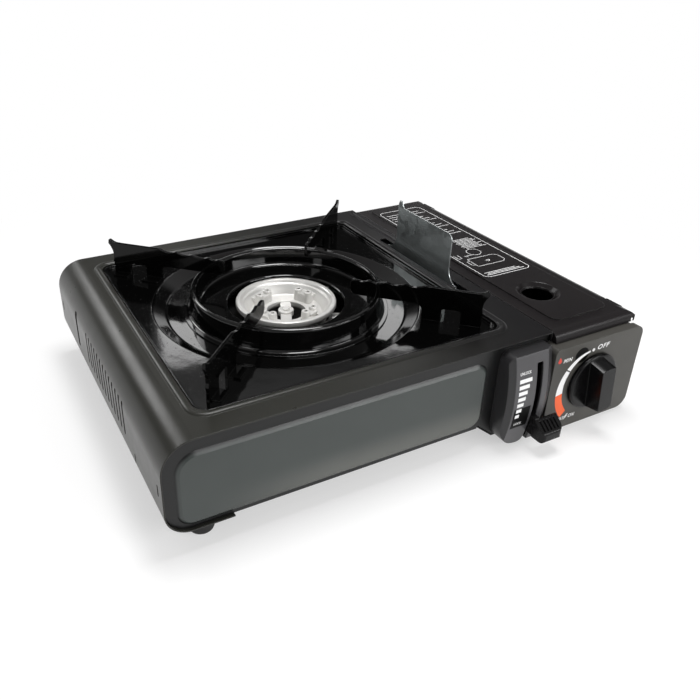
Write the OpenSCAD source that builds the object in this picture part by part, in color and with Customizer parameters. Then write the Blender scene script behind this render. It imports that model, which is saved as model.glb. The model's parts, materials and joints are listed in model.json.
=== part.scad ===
// Butane cassette stove: pressed-steel body with a lift-off pan support, an
// aluminium dish burner and a cartridge bay under a hinged lid on the right.
// The origin is on the table under the middle of the stove's outline.
// X runs to the right (knob side), Y to the back and Z up. Sizes are in mm.

/* [Body] */
// Width of the body, left wall to right wall
body_w = 345; // [335:1:365]
// Depth of the body, front panel to rear panel
body_d = 254; // [250:1:270]
// Height of the top sheet above the table
top_z = 78; // [77:0.5:80]
// Height of the lower edge of the left part above the table
skirt_z = 15.5; // [15:0.5:16.5]
// Height of the belly under the cartridge bay above the table
belly_z = 5; // [4.5:0.5:5.5]
// Thickness of the pressed sheet
sheet = 0.8; // [0.7:0.05:0.9]
// How far the lock lever reaches in front of the body
lever_reach = 26; // [25:0.5:28]

/* [Pan support] */
// Side of the square recess that holds the drip tray
tray_open = 214; // [210:1:216]
// Place of the burner axis along the width
burner_x = -36.5; // [-40:0.5:-34]
// Radius of the dished ring of the tray
dish_r = 96; // [93:0.5:97]
// Radius of the crest of the burner ring
crest_r = 65.2; // [63:0.2:67]
// Height of the crest of the burner ring
crest_z = 84.6; // [83:0.1:85]
// Height of the pan-carrying edge of the arms
pan_z = 100; // [98:0.5:102]
// Reach of each arm from the burner axis
arm_reach = 139.5; // [138:0.5:141]

/* [Burner] */
// Radius of the burner head
head_r = 36; // [34:0.5:37]
// Height of the rim of the burner head
head_z = 74.6; // [74:0.1:75.5]

/* [Cartridge bay] */
// Left side of the bay, at the seam of the lid
seam_x = 95; // [94:0.5:96]
// Diameter of the gas cartridge that the bay takes
can_d = 67; // [66:0.5:67.5]
// Opening angle of the lid, for viewing
lid_angle = 0; // [0:1:105]

/* [Controls] */
// Radius of the control knob
knob_r = 21; // [20:0.1:22]
// Turn of the knob from off, for viewing
knob_angle = 0; // [0:1:150]
// Swing of the lock lever from locked, for viewing
lever_angle = 0; // [0:1:40]

/* [Hidden] */
$fn = 64;

// Outline of the body in plan
total_d = body_d + lever_reach;
front_y = lever_reach - total_d / 2;
back_y = front_y + body_d;
left_x = -body_w / 2;
right_x = body_w / 2;
burner_y = (front_y + back_y) / 2;

// Radii of the wrap's bends
top_bend_r = 20;
low_bend_r = 16.5;
belly_bend_r = 14;

// Panels at the two ends
panel_t = 1;
panel_set = 2.2;
gap = 0.2;
panel_y = front_y + panel_set;
panel_back = panel_y + panel_t;
rear_in_y = back_y - panel_set - panel_t;

// The base sheet steps down to the belly between these places
step_x0 = 44;
step_x1 = 58;
base_z = skirt_z + 2 * sheet + gap;
side_top = 61.5;

// Drip tray and ring levels
ledge_z = top_z - 5.5;
floor_z = top_z - 2.5;
dish_z = top_z - 8;
tray_gap = 1;
tray_half = tray_open / 2 - tray_gap;
ring_t = 1;
arm_t = 2;
arm_low_z = crest_z + 2;

// Gas line from the burner to the regulator
gas_z = 58.5;
reg_out = [107, -88];
gas_len = norm([reg_out[0] - burner_x, reg_out[1] - burner_y]);
gas_dir = atan2(reg_out[1] - burner_y, reg_out[0] - burner_x);

// Knob axis and cartridge axis
knob_x = 128.8;
knob_z = 37.3;
knob_lean = 6.5;
can_x = 133;
car_z = belly_z + sheet + 0.4;
car_t = 1.2;
can_z = car_z + car_t + 0.6 + can_d / 2;
reg_r = 23;
reg_front = -104;
reg_back = -86;
spindle_r = 4;
cap_at = [139, -95, 60.4];
reg_foot = 9;

// Lock lever, its pin and the peg that moves the cradle
lever_x = 77.2;
lever_y = -75.5;
lever_z = 38;
lever_swing = 40;
crank_r = 9;

// Curved housing round the lever, as the arc of its face
house_r = 125;
house_y = -127;
house_z = 39;

// Plate behind the knob
plate_x0 = 91;
plate_x1 = 171.5;
plate_z0 = 3;
plate_z1 = 70;
plate_y = -123.8;

// Lid hinge
hinge_x = 166.5;
hinge_z = 72;
hinge_r = 4.6;
pin_r = 1.5;
fit = 0.05;
barrel_len = 11;
hinge_front = -98.5;
hinge_rear = 121;
lid_x0 = seam_x + sheet + 0.3;
lid_x1 = 171.5;
lid_low = 64;
lid_over = 70.6;
lid_front = front_y - 3.2;
lid_set = 0.9;

// ---- helpers -------------------------------------------------------------

// Rectangle from two corners
module rect(x0, y0, x1, y1) {
    translate([x0, y0]) square([x1 - x0, y1 - y0]);
}

// Corner waste between a square corner and its round
module nick(x, y, r, turn) {
    translate([x, y]) rotate(turn) difference() {
        translate([-1, -1]) square(r + 1);
        translate([r, r]) circle(r);
    }
}

// Rectangle with its own radius at each corner:
// r = [low left, low right, top right, top left]
module soft_rect(x0, y0, x1, y1, r) {
    difference() {
        rect(x0, y0, x1, y1);
        if (r[0] > 0) nick(x0, y0, r[0], 0);
        if (r[1] > 0) nick(x1, y0, r[1], 90);
        if (r[2] > 0) nick(x1, y1, r[2], 180);
        if (r[3] > 0) nick(x0, y1, r[3], 270);
    }
}

// Square centred on the burner axis
module tray_square(half, r) {
    soft_rect(burner_x - half, burner_y - half, burner_x + half, burner_y + half,
              [r, r, r, r]);
}

// Extrude a profile drawn in X and Z along Y, from y0 to y1
module along_y(y0, y1) {
    translate([0, y1, 0]) rotate([90, 0, 0]) linear_extrude(y1 - y0) children();
}

// Extrude a profile drawn in Y and Z along X, from x0 to x1
module along_x(x0, x1) {
    translate([x0, 0, 0]) rotate([90, 0, 90]) linear_extrude(x1 - x0) children();
}

// Cylinder along Y and along X
module rod_y(x, z, r, y0, y1) {
    translate([x, y1, z]) rotate([90, 0, 0]) cylinder(r = r, h = y1 - y0);
}

module rod_x(y, z, r, x0, x1) {
    translate([x0, y, z]) rotate([0, 90, 0]) cylinder(r = r, h = x1 - x0);
}

// Points of an arc
function arc_pts(cx, cy, r, a0, a1, n) =
    [for (i = [0:n]) let (a = a0 + (a1 - a0) * i / n) [cx + r * cos(a), cy + r * sin(a)]];

// Unit normal to the right of a path at point i
function side_of(p, i) =
    let (a = p[max(i - 1, 0)], b = p[min(i + 1, len(p) - 1)], d = (b - a) / norm(b - a))
    [d[1], -d[0]];

// Closed outline of a sheet of thickness t that lies to the right of a path
function sheet_pts(p, t) =
    concat(p, [for (i = [len(p) - 1:-1:0]) p[i] + t * side_of(p, i)]);

// ---- body ----------------------------------------------------------------

// C-shaped section of the wrap: lower lip, left wall, top and seam edge
module wrap_section() {
    lip_x = left_x + 41;
    difference() {
        soft_rect(left_x, skirt_z, seam_x, top_z, [low_bend_r, 0, 0, top_bend_r]);
        soft_rect(left_x + sheet, skirt_z + sheet, seam_x - sheet, top_z - sheet,
                  [low_bend_r - sheet, 0, 0, top_bend_r - sheet]);
        rect(lip_x, skirt_z - 1, seam_x + 1, top_z - 2 * sheet - 5);
    }
}

// Half-round raised lip that frames the tray recess
module recess_lip() {
    lip_r = 3.2;
    lip_up = 1.2;
    lip_c = tray_open / 2 + lip_r - 0.4;
    corner = 10;
    z = top_z + lip_up - lip_r;
    intersection() {
        translate([burner_x, burner_y, z]) union() {
            for (a = [0:90:270]) rotate(a) {
                translate([lip_c, -(lip_c - corner), 0]) rotate([-90, 0, 0])
                    cylinder(r = lip_r, h = 2 * (lip_c - corner));
                translate([lip_c - corner, lip_c - corner, 0])
                    rotate_extrude(angle = 90) translate([corner, 0]) circle(lip_r, $fn = 32);
            }
        }
        translate([burner_x - 150, burner_y - 150, top_z - sheet]) cube([300, 300, 5]);
    }
}

louvre_n = 13;
louvre_pitch = 7.6;
louvre_y0 = -41;

module wall_slot(y, z0, z1, w) {
    r = w / 2 - 0.05;
    along_x(left_x - 1, left_x + 2) soft_rect(y - w / 2, z0, y + w / 2, z1, [r, r, r, r]);
}

shield_x = 83.8;
slot_x0 = 78.5;
slot_x1 = 85;
slot_y0 = -46;
slot_y1 = 70;

module body_shell() {
    color([0.19, 0.19, 0.17]) {
        difference() {
            union() {
                along_y(front_y, back_y) wrap_section();
                recess_lip();
                translate([0, 0, ledge_z - sheet]) linear_extrude(top_z - ledge_z)
                    tray_square(tray_open / 2 + sheet, 10 + sheet);
                // stiffening rib beside the slot
                intersection() {
                    rod_y(89.6, top_z - 2.3, 3, slot_y1 - 10, back_y - 9);
                    translate([80, 0, top_z - sheet]) cube([15, 200, 5]);
                }
            }
            translate([0, 0, ledge_z]) linear_extrude(20) tray_square(tray_open / 2, 10);
            translate([0, 0, ledge_z - 2]) linear_extrude(20) tray_square(tray_open / 2 - 7, 6);
            translate([0, 0, top_z - 3]) linear_extrude(6)
                soft_rect(slot_x0, slot_y0, slot_x1, slot_y1, [2.5, 2.5, 2.5, 2.5]);
            for (i = [0:louvre_n - 1])
                wall_slot(louvre_y0 + louvre_pitch * i, 38, 62, 2.8);
            wall_slot(81, 36, 64, 5);
            wall_slot(front_y + 7.5, 41, 49, 2);
            wall_slot(back_y - 7.5, 41, 49, 2);
            wall_slot(-61, 30, 37, 2);
        }
    }
}

// Outline of an end panel inside the wrap and the base; lid_side_z is its
// height under the lid
module panel_outline(lid_side_z) {
    in = sheet + gap;
    difference() {
        union() {
            soft_rect(left_x + in, skirt_z + in, seam_x - in, top_z - in,
                      [low_bend_r - in, 0, 0, top_bend_r - in]);
            soft_rect(step_x0, belly_z + sheet + gap, right_x - in, lid_side_z,
                      [0, belly_bend_r - in, 0, 0]);
        }
        polygon([[step_x0 - 1, belly_z], [step_x0 - 1, base_z + sheet + gap],
                 [step_x0, base_z + sheet + gap], [step_x1 + 1, belly_z + sheet + gap],
                 [step_x1 + 1, belly_z]]);
    }
}

// Raised field of an end panel: left, bottom, right and top of its face
field = [-162, 21.5, 42, 66];
field_rise = 1.8;
field_bevel = 2.6;

// Field pressed out of the panel's plane at y; dir is -1 to the front
module raised_field(y, dir) {
    hull() for (s = [[0, 1], [0.6, 0.32], [1, 0]]) {
        d = field_bevel * s[1];
        translate([0, y + dir * field_rise * s[0], 0]) along_y(-0.05, 0.05)
            soft_rect(field[0] - d, field[1] - d, field[2] + d, field[3] + d,
                      [7 + d, 7 + d, 7 + d, 11 + d]);
    }
}

module front_panel() {
    color([0.16, 0.18, 0.19]) difference() {
        union() {
            along_y(panel_y, panel_back) {
                panel_outline(side_top);
                // rise that closes the bay under the lid
                soft_rect(seam_x - 3, side_top - 1, 155, plate_z1 - 0.5, [0, 0, 6, 0]);
            }
            raised_field(panel_y, -1);
        }
        // way for the lever
        along_y(panel_y - 1, panel_back + 1)
            soft_rect(lever_x - 6, 18, lever_x + 6, 69, [3, 3, 3, 3]);
        // way for the spindle
        rod_y(knob_x, knob_z, 7, panel_y - 1, panel_back + 1);
    }
}

module rear_panel() {
    color([0.17, 0.17, 0.16]) difference() {
        union() {
            along_y(rear_in_y, back_y - panel_set) panel_outline(side_top);
            raised_field(back_y - panel_set, 1);
        }
        for (i = [0:8]) along_y(rear_in_y - 1, back_y + 1)
            translate([-100 + 10 * i, 0]) soft_rect(-1.5, 30, 1.5, 44, [1.4, 1.4, 1.4, 1.4]);
    }
}

// Section of the base sheet: floor, step, belly, bend and right wall
module base_section() {
    x0 = left_x + low_bend_r + 1;
    r = belly_bend_r;
    difference() {
        soft_rect(x0, belly_z, right_x, side_top, [0, r, 0, 0]);
        polygon([[x0 - 1, belly_z - 1], [x0 - 1, base_z - sheet], [step_x0, base_z - sheet],
                 [step_x1, belly_z], [step_x1, belly_z - 1]]);
        difference() {
            soft_rect(x0 - 1, belly_z + sheet, right_x - sheet, side_top + 1,
                      [0, r - sheet, 0, 0]);
            polygon([[x0 - 2, belly_z], [x0 - 2, base_z], [step_x0, base_z],
                     [step_x1 + 0.4, belly_z + sheet], [step_x1, belly_z]]);
        }
    }
}

vent_n = 9;

module base_pan() {
    color([0.20, 0.20, 0.19]) difference() {
        along_y(panel_back, rear_in_y) base_section();
        for (row = [0:1], i = [0:vent_n - 1])
            translate([-104 + 15 * i, row == 0 ? 70 : -60, base_z - 3])
                linear_extrude(6) soft_rect(-2.5, -14, 2.5, 14, [2.4, 2.4, 2.4, 2.4]);
        translate([0, 0, belly_z - 1]) linear_extrude(4)
            for (i = [0:3]) translate([110 + 14 * i, 95]) soft_rect(-2, -14, 2, 14,
                                                                   [1.9, 1.9, 1.9, 1.9]);
    }
}

module bay_partition() {
    color([0.62, 0.64, 0.66]) difference() {
        along_x(seam_x, seam_x + sheet)
            rect(panel_back, belly_z + sheet, rear_in_y, top_z - 1.5);
        // way for the lever's crank peg
        along_x(seam_x - 1, seam_x + 2)
            soft_rect(lever_y - 9, lever_z + 3.5, lever_y + 9, lever_z + 12, [3, 3, 3, 3]);
        // way for the gas arm
        gas_axis(0) cylinder(r = 8, h = gas_len);
        // way for the ignition lead
        rod_x(-98, 10.5, 3, seam_x - 1, seam_x + 2);
    }
}

module heat_shield() {
    y0 = -16.5;
    y1 = 52.5;
    top = 112.5;
    flare = 11;
    root = top_z - 1;
    foot_z = 60;
    t = 0.8;
    color([0.45, 0.50, 0.50]) {
        along_x(shield_x, shield_x + t) difference() {
            union() {
                soft_rect(y0, foot_z, y1, top, [0, 0, 0, 5]);
                // small tab at the far corner
                polygon([[y1 - 8.5, top - 1], [y1 - 6.4, top + 1.2], [y1 - 5, top + 4.8],
                         [y1 - 1.4, top + 4.8], [y1, top + 1.8], [y1, top - 1]]);
                rect(y0 - flare, foot_z, y1 + flare, root + 9);
            }
            translate([y0 - flare, root + 9]) circle(flare);
            translate([y1 + flare, root + 9]) circle(flare);
        }
        translate([shield_x, y0 - flare, foot_z - t])
            cube([seam_x - shield_x, y1 - y0 + 2 * flare, t]);
        translate([seam_x - t, y0 - flare, foot_z])
            cube([t, y1 - y0 + 2 * flare, 8]);
    }
}

// ---- lift-off pan support --------------------------------------------------

module drip_tray() {
    rim_top = top_z - 0.6;
    dish_path = concat([[dish_r + 2, floor_z]],
                       arc_pts(dish_r - 1, floor_z - 2.5, 2.5, 90, 125, 3),
                       arc_pts(dish_r - 12, dish_z + 4, 4, 305, 270, 3),
                       [[62, dish_z]]);
    color([0.05, 0.05, 0.06]) {
        difference() {
            translate([0, 0, floor_z - sheet]) linear_extrude(sheet) tray_square(tray_half, 9);
            translate([burner_x, burner_y, floor_z - 5]) cylinder(r = dish_r + 1.9, h = 10);
        }
        translate([0, 0, ledge_z]) linear_extrude(rim_top - ledge_z) difference() {
            tray_square(tray_half, 9);
            tray_square(tray_half - 1.4, 7.6);
        }
        translate([burner_x, burner_y, 0]) rotate_extrude($fn = 96)
            polygon(sheet_pts(dish_path, -sheet));
    }
}

module burner_ring() {
    wall = concat([[73, dish_z + ring_t]],
                  [[70.5, dish_z + ring_t]],
                  arc_pts(70.5, dish_z + ring_t + 2, 2, 270, 190, 4),
                  arc_pts(crest_r, crest_z, 2, 10, 170, 8),
                  arc_pts(60.2, top_z - 2, 2.5, 350, 280, 4),
                  [[46, top_z - 4.5]],
                  arc_pts(43, top_z - 6, 1.5, 90, 180, 4),
                  [[41.5, dish_z + 0.5]]);
    color([0.04, 0.04, 0.05]) translate([burner_x, burner_y, 0]) rotate_extrude($fn = 96)
        polygon(sheet_pts(wall, -ring_t));
}

// One pan-support arm, drawn as radius from the burner axis and height
function scallop(r0, r1, z0, z1, dip, n) =
    [for (i = [0:n]) let (u = i / n)
        [r0 + (r1 - r0) * u, z0 + (z1 - z0) * u - dip * sin(180 * u)]];

module arm_outline() {
    leg0 = 97;
    leg1 = 137;
    polygon(concat(
        [[leg1, floor_z], [leg1 - 0.6, 82]],
        arc_pts(leg1 + 13.4, 90, 14, 200, 138, 5),
        [[arm_reach, pan_z + 2.2], [arm_reach - 1, pan_z + 2.4]],
        [[arm_reach - 3.5, pan_z + 0.9], [134, pan_z + 0.2], [130, pan_z]],
        [[leg0 + 1, pan_z]],
        scallop(leg0, 85, pan_z - 0.2, pan_z - 0.6, 1.5, 5),
        scallop(84, 72.5, pan_z - 0.7, pan_z - 1.3, 1.5, 5),
        scallop(71.5, 60, pan_z - 1.1, pan_z - 1.9, 1.5, 5),
        scallop(59, 52, pan_z - 1.7, pan_z - 2.5, 1.1, 4),
        [[48, pan_z - 3], [46.8, pan_z - 4.5], [46.6, pan_z - 9.5], [48.5, pan_z - 12.5]],
        [[54, arm_low_z], [leg0 - 5, arm_low_z]],
        arc_pts(leg0 - 5, arm_low_z - 5, 5, 90, 0, 4),
        [[leg0, floor_z], [110, floor_z], [110, floor_z + 8]],
        arc_pts(111.5, floor_z + 8, 1.5, 180, 90, 3),
        arc_pts(121.5, floor_z + 8, 1.5, 90, 0, 3),
        [[123, floor_z]]));
}

module pan_arm(turn) {
    foot = 8;
    color([0.04, 0.04, 0.05]) translate([burner_x, burner_y, 0]) rotate(turn) {
        translate([0, arm_t / 2, 0]) rotate([90, 0, 0]) linear_extrude(arm_t) arm_outline();
        // feet bent flat on the tray
        translate([0, arm_t / 2, floor_z]) {
            translate([97, 0, 0]) cube([13, foot, 1.2]);
            translate([123, 0, 0]) cube([12, foot - 2, 1.2]);
        }
    }
}

module pan_arm_front_left() { pan_arm(225); }
module pan_arm_front_right() { pan_arm(315); }
module pan_arm_rear_left() { pan_arm(135); }
module pan_arm_rear_right() { pan_arm(45); }

// ---- burner ------------------------------------------------------------------

dish_floor = head_z - 9.5;
well_r = 12.5;
post_r = 2.6;

module port_block() {
    // raised block with two drilled posts
    difference() {
        union() {
            translate([17.2, -6, dish_floor - 1]) cube([7.6, 12, 5.4]);
            for (s = [-1, 1]) translate([18.8, s * 5, dish_floor - 1])
                cylinder(r = post_r, h = 7.2, $fn = 32);
        }
        for (s = [-1, 1]) translate([18.8, s * 5, dish_floor + 3])
            cylinder(r = 0.9, h = 5, $fn = 24);
    }
}

module burner_head() {
    wall = concat([[head_r, head_z - 3.4]],
                  arc_pts(head_r - 1, head_z - 1, 1, 0, 90, 3),
                  arc_pts(head_r - 3.2, head_z - 0.8, 0.8, 90, 160, 3),
                  [[head_r - 4.6, head_z - 2.2], [head_r - 6, head_z - 2.4]],
                  [[25.5, dish_floor + 0.6]],
                  [[23.6, dish_floor], [well_r, dish_floor]]);
    color([0.84, 0.84, 0.83]) translate([burner_x, burner_y, 0]) {
        rotate_extrude($fn = 96)
            polygon(concat(wall, [[well_r, dish_floor - 3], [30, dish_floor - 3],
                                  [30, dish_floor - 1.6], [head_r - 2.5, head_z - 3.4]]));
        // bridge and hub over the open well
        translate([-3.2, -well_r - 0.5, dish_floor - 2.4]) cube([6.4, 2 * well_r + 1, 2.2]);
        translate([0, 0, dish_floor - 3]) cylinder(r = 5.2, h = 4.2);
        translate([0, 0, dish_floor + 1]) cylinder(r = 2.6, h = 1.2, $fn = 6);
        for (a = [45:90:315]) rotate(a) port_block();
    }
}

chamber_r = 30;
chamber_in = 15;
chamber_low = 49;
tube_r = 6;

module gas_socket(s, r, len) {
    translate([0, 0, gas_z]) rotate(gas_dir) rotate([0, 90, 0]) translate([0, 0, s])
        cylinder(r = r, h = len);
}

module burner_chamber() {
    color([0.70, 0.71, 0.71]) translate([burner_x, burner_y, 0]) difference() {
        union() {
            difference() {
                translate([0, 0, chamber_low])
                    cylinder(r = chamber_r, h = dish_floor - 3 - chamber_low);
                translate([0, 0, chamber_low - 1]) cylinder(r = chamber_in, h = 30);
            }
            gas_socket(22, tube_r + 2.2, 20);
        }
        difference() {
            translate([0, 0, chamber_low + 2])
                cylinder(r = chamber_r - 2, h = 30);
            translate([0, 0, chamber_low - 1]) cylinder(r = chamber_in + 2, h = 40);
        }
        gas_socket(18, tube_r + 0.1, 30);
        translate([0, 0, chamber_low - 1]) cylinder(r = chamber_in, h = 30);
        translate([0, 0, dish_floor - 3]) cylinder(r = chamber_r + 20, h = 10);
    }
}

module burner_stand() {
    // bridge of strip steel that carries the burner on the base
    w = 18;
    t = 1.5;
    span = 27;
    top = chamber_low;
    color([0.60, 0.62, 0.64]) translate([burner_x, burner_y, 0]) rotate(gas_dir + 90)
    difference() {
        union() {
            translate([-span - t, -w / 2, top - t]) cube([2 * (span + t), w, t]);
            for (s = [-1, 1]) {
                translate([s > 0 ? span : -span - t, -w / 2, base_z])
                    cube([t, w, top - base_z]);
                translate([s > 0 ? span : -span - 14, -w / 2, base_z]) cube([14, w, t]);
            }
        }
        for (s = [-1, 1]) translate([s * (span + 9), 0, base_z - 1])
            cylinder(r = 1.6, h = 5);
        translate([spark_at[0], 0, top - 3]) cylinder(r = 2.65, h = 5);
    }
}

tube_start = 31.5;
tube_end = 138;
spark_at = [8, gas_dir + 90];

module gas_axis(s) {
    translate([burner_x, burner_y, gas_z]) rotate(gas_dir) rotate([0, 90, 0])
        translate([0, 0, s]) children();
}

module mixing_tube() {
    color([0.68, 0.69, 0.70]) gas_axis(tube_start) difference() {
        union() {
            cylinder(r = tube_r, h = tube_end - tube_start);
            translate([0, 0, tube_end - tube_start - 8])
                cylinder(r = tube_r + 1.5, h = 8);
        }
        translate([0, 0, -1]) cylinder(r = tube_r - 1, h = 200);
    }
}

module air_collar() {
    // slotted sleeve that joins the tube to the gas arm and lets the air in
    len = 16;
    r = tube_r + 1.5;
    color([0.74, 0.66, 0.42]) gas_axis(tube_end) difference() {
        cylinder(r = r, h = len);
        translate([0, 0, -1]) cylinder(r = r - 1, h = len - 1);
        translate([0, 0, len - 3]) cylinder(r = 5.1, h = 5);
        for (a = [0:90:270]) rotate(a) translate([0, -2.5, 3]) cube([20, 5, 8]);
    }
}

module gas_nozzle() {
    // brass jet screwed into the gas arm, its tip inside the air collar
    color([0.78, 0.62, 0.30]) gas_axis(0) difference() {
        union() {
            translate([0, 0, tube_end + 6]) cylinder(r1 = 2, r2 = 3.4, h = 4);
            translate([0, 0, tube_end + 10]) cylinder(r = 5, h = 9);
        }
        translate([0, 0, tube_end]) cylinder(r = 0.6, h = 30, $fn = 16);
    }
}

module spark_electrode() {
    // ceramic sleeve with a bent spark wire, up the open middle of the burner
    color([0.90, 0.89, 0.86]) translate([burner_x, burner_y, 0]) rotate(spark_at[1])
    translate([spark_at[0], 0, 0]) {
        translate([0, 0, 36]) cylinder(r = 2.6, h = 18, $fn = 32);
        translate([0, 0, chamber_low]) cylinder(r = 4, h = 1.4, $fn = 32);
        translate([0, 0, 53]) cylinder(r = 0.8, h = 7.5, $fn = 16);
    }
}

lead_r = 1.3;
lead_route = [[100.3, -106.3, 14], [100.3, -106.3, 11.6], [99.6, -102, 10.2], [95.4, -98, 10.5],
              [86, -97, 10.5], [74, -95, 10.5], [62, -90, 12.5], [46, -78, 20], [28, -56, 20.5],
              [5, -28, 20.5], [-14, -6, 20.5], [-27, 9, 22], [-31.5, 17.5, 28],
              [-31.9, 19.5, 36]];

// Point on a smooth curve through the route, and the rings of a tube on it
function lead_at(i, u) =
    let (n = len(lead_route) - 1, a = lead_route[max(i - 1, 0)], b = lead_route[i],
         c = lead_route[i + 1], d = lead_route[min(i + 2, n)])
    0.5 * (2 * b + (c - a) * u + (2 * a - 5 * b + 4 * c - d) * u * u
           + (3 * b - a - 3 * c + d) * u * u * u);

lead_steps = 4;
lead_pts = concat([for (i = [0:len(lead_route) - 2], j = [0:lead_steps - 1])
                       lead_at(i, j / lead_steps)], [lead_route[len(lead_route) - 1]]);

function lead_ring(i) =
    let (n = len(lead_pts) - 1, d = lead_pts[min(i + 1, n)] - lead_pts[max(i - 1, 0)],
         t = i == 0 || i == n ? [0, 0, i == 0 ? -1 : 1] : d / norm(d),
         s = cross(t, [sin(-gas_dir), cos(gas_dir), 0]), a = s / norm(s), b = cross(t, a))
    [for (k = [0:7]) lead_pts[i] + lead_r * (cos(45 * k) * a + sin(45 * k) * b)];

module ignition_lead() {
    n = len(lead_pts);
    color([0.10, 0.10, 0.11]) polyhedron(
        points = [for (i = [0:n - 1]) each lead_ring(i)],
        faces = concat([[for (k = [0:7]) k]], [[for (k = [7:-1:0]) (n - 1) * 8 + k]],
            [for (i = [0:n - 2], k = [0:7]) each let (l = (k + 1) % 8)
                [[i * 8 + l, i * 8 + k, (i + 1) * 8 + k],
                 [i * 8 + l, (i + 1) * 8 + k, (i + 1) * 8 + l]]]),
        convexity = 6);
}

// ---- gas train ---------------------------------------------------------------

module regulator_body() {
    color([0.66, 0.67, 0.69]) difference() {
        union() {
            rod_y(knob_x, knob_z, reg_r, reg_front, reg_back);
            rod_y(knob_x, knob_z, 8, reg_front - 3, reg_front);
            rod_y(can_x, can_z, 13, reg_back, reg_back + 8);
            // upright that carries the gas arm
            translate([reg_out[0] - 7, reg_out[1] - 8, 44]) cube([20, 10, 22]);
            gas_axis(tube_end + 19) cylinder(r = 5.8, h = gas_len - tube_end - 19);
            // seat of the diaphragm cover
            translate([cap_at[0], cap_at[1], knob_z]) cylinder(r = 9, h = cap_at[2] - knob_z);
            // feet on the belly
            for (s = [-1, 1])
                translate([knob_x + s * reg_foot - 4, reg_front, belly_z + sheet])
                    cube([8, 18, 16]);
        }
        // bore for the spindle
        rod_y(knob_x, knob_z, spindle_r + fit, reg_front - 4, reg_front + 10);
        // socket for the cartridge's stem
        rod_y(can_x, can_z, 5.3, reg_back - 4, reg_back + 9);
    }
}

module regulator_cap() {
    // diaphragm cover, on the top of the regulator
    color([0.72, 0.72, 0.70]) translate(cap_at) {
        cylinder(r = 11, h = 4);
        translate([0, 0, 4]) cylinder(r = 7, h = 3);
    }
}

module cartridge_collar() {
    // steel ring with the key that lets the cartridge in only one way round
    y0 = reg_back + 8;
    color([0.70, 0.72, 0.74]) difference() {
        union() {
            rod_y(can_x, can_z, 21, y0, y0 + 1.5);
            translate([can_x - 2.4, y0, can_z + 15]) cube([4.8, 6, 3]);
            // tabs that bolt it to the drum
            for (s = [-1, 1]) translate([can_x + s * 18.5 - 3, reg_back, can_z - 4])
                cube([6, 9.5, 8]);
        }
        rod_y(can_x, can_z, 9, y0 - 1, y0 + 3);
    }
}

// Left side, underside, width, depth and height of the igniter
piezo_x = seam_x + sheet + 1.5;
piezo_y = panel_back + 0.2;
piezo_z = 14;
piezo_w = 9;
piezo_h = 18;
plunger_r = 2.5;

module piezo_igniter() {
    color([0.12, 0.12, 0.13]) difference() {
        translate([piezo_x, piezo_y, piezo_z]) cube([piezo_w, piezo_w, piezo_h]);
        translate([piezo_x + piezo_w / 2, piezo_y + piezo_w / 2, piezo_z + 6])
            cylinder(r = plunger_r + fit, h = 20);
    }
}

module igniter_plunger() {
    low = piezo_z + 11.5;
    color([0.85, 0.80, 0.72])
        translate([piezo_x + piezo_w / 2, piezo_y + piezo_w / 2, low])
            cylinder(r = plunger_r, h = knob_z - 2.8 - low);
}

module turned_knob() {
    translate([knob_x, 0, knob_z]) rotate([0, -knob_angle, 0])
        translate([-knob_x, 0, -knob_z]) children();
}

module igniter_cam() {
    // finger on the spindle that strikes the plunger at the end of the turn
    reach = 27;
    y0 = panel_back + 0.6;
    y1 = reg_front - 3.4;
    color([0.20, 0.20, 0.21]) turned_knob() difference() {
        union() {
            rod_y(knob_x, knob_z, 7, y0, y1);
            translate([knob_x, y0 + 0.6, knob_z]) rotate([0, -30, 0]) translate([5, 0, -2.5])
                cube([reach - 5, y1 - y0 - 1.2, 5]);
        }
        rod_y(knob_x, knob_z, spindle_r, y0 - 1, y1 + 1);
    }
}

module control_spindle() {
    color([0.72, 0.73, 0.75]) turned_knob()
        rod_y(knob_x, knob_z, spindle_r, plate_y - 2, reg_front + 9);
}

module control_plate() {
    wall = 2;
    r = [3, 9, 7, 4];
    color([0.17, 0.17, 0.15]) difference() {
        along_y(plate_y, panel_y) soft_rect(plate_x0, plate_z0, plate_x1, plate_z1, r);
        along_y(plate_y + wall, panel_y + 1)
            soft_rect(plate_x0 + wall, plate_z0 + wall, plate_x1 - wall, plate_z1 - wall,
                      [1, 7, 5, 2]);
        rod_y(knob_x, knob_z, 10, plate_y - 1, plate_y + 3);
        // way for the corner of the lid as it opens
        translate([hinge_x - 3, lid_front - 1, plate_z1 - 4.2])
            cube([12, panel_y - lid_front + 2, 10]);
    }
}

module control_knob() {
    skirt_y = plate_y - 0.5;
    skirt_t = 3;
    face_y = skirt_y - skirt_t;
    tip_y = plate_y - 14.7;
    bar_w = 11.7;
    skirt = concat([[0, 0], [knob_r, 0]],
                   arc_pts(knob_r - 1.8, skirt_t - 1.8, 1.8, 10, 80, 4),
                   [[0, skirt_t]]);
    color([0.06, 0.06, 0.065]) turned_knob() difference() {
        union() {
            translate([knob_x, skirt_y, knob_z]) rotate([90, 0, 0])
                rotate_extrude($fn = 96) polygon(skirt);
            // grip bar across the skirt, leaning to the off mark
            translate([knob_x, face_y + 1, knob_z]) rotate([0, -knob_lean, 0]) intersection() {
                rotate([90, 0, 0])
                    cylinder(r1 = knob_r - 1.7, r2 = knob_r - 4, h = face_y + 1 - tip_y);
                along_y(tip_y - face_y - 1, 0) rect(-bar_w / 2, -30, bar_w / 2, 30);
            }
            rod_y(knob_x, knob_z, 8.5, skirt_y, plate_y + 4.5);
        }
        rod_y(knob_x, knob_z, spindle_r, plate_y - 2, plate_y + 5);
    }
}

// ---- cartridge lock ------------------------------------------------------------

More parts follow.
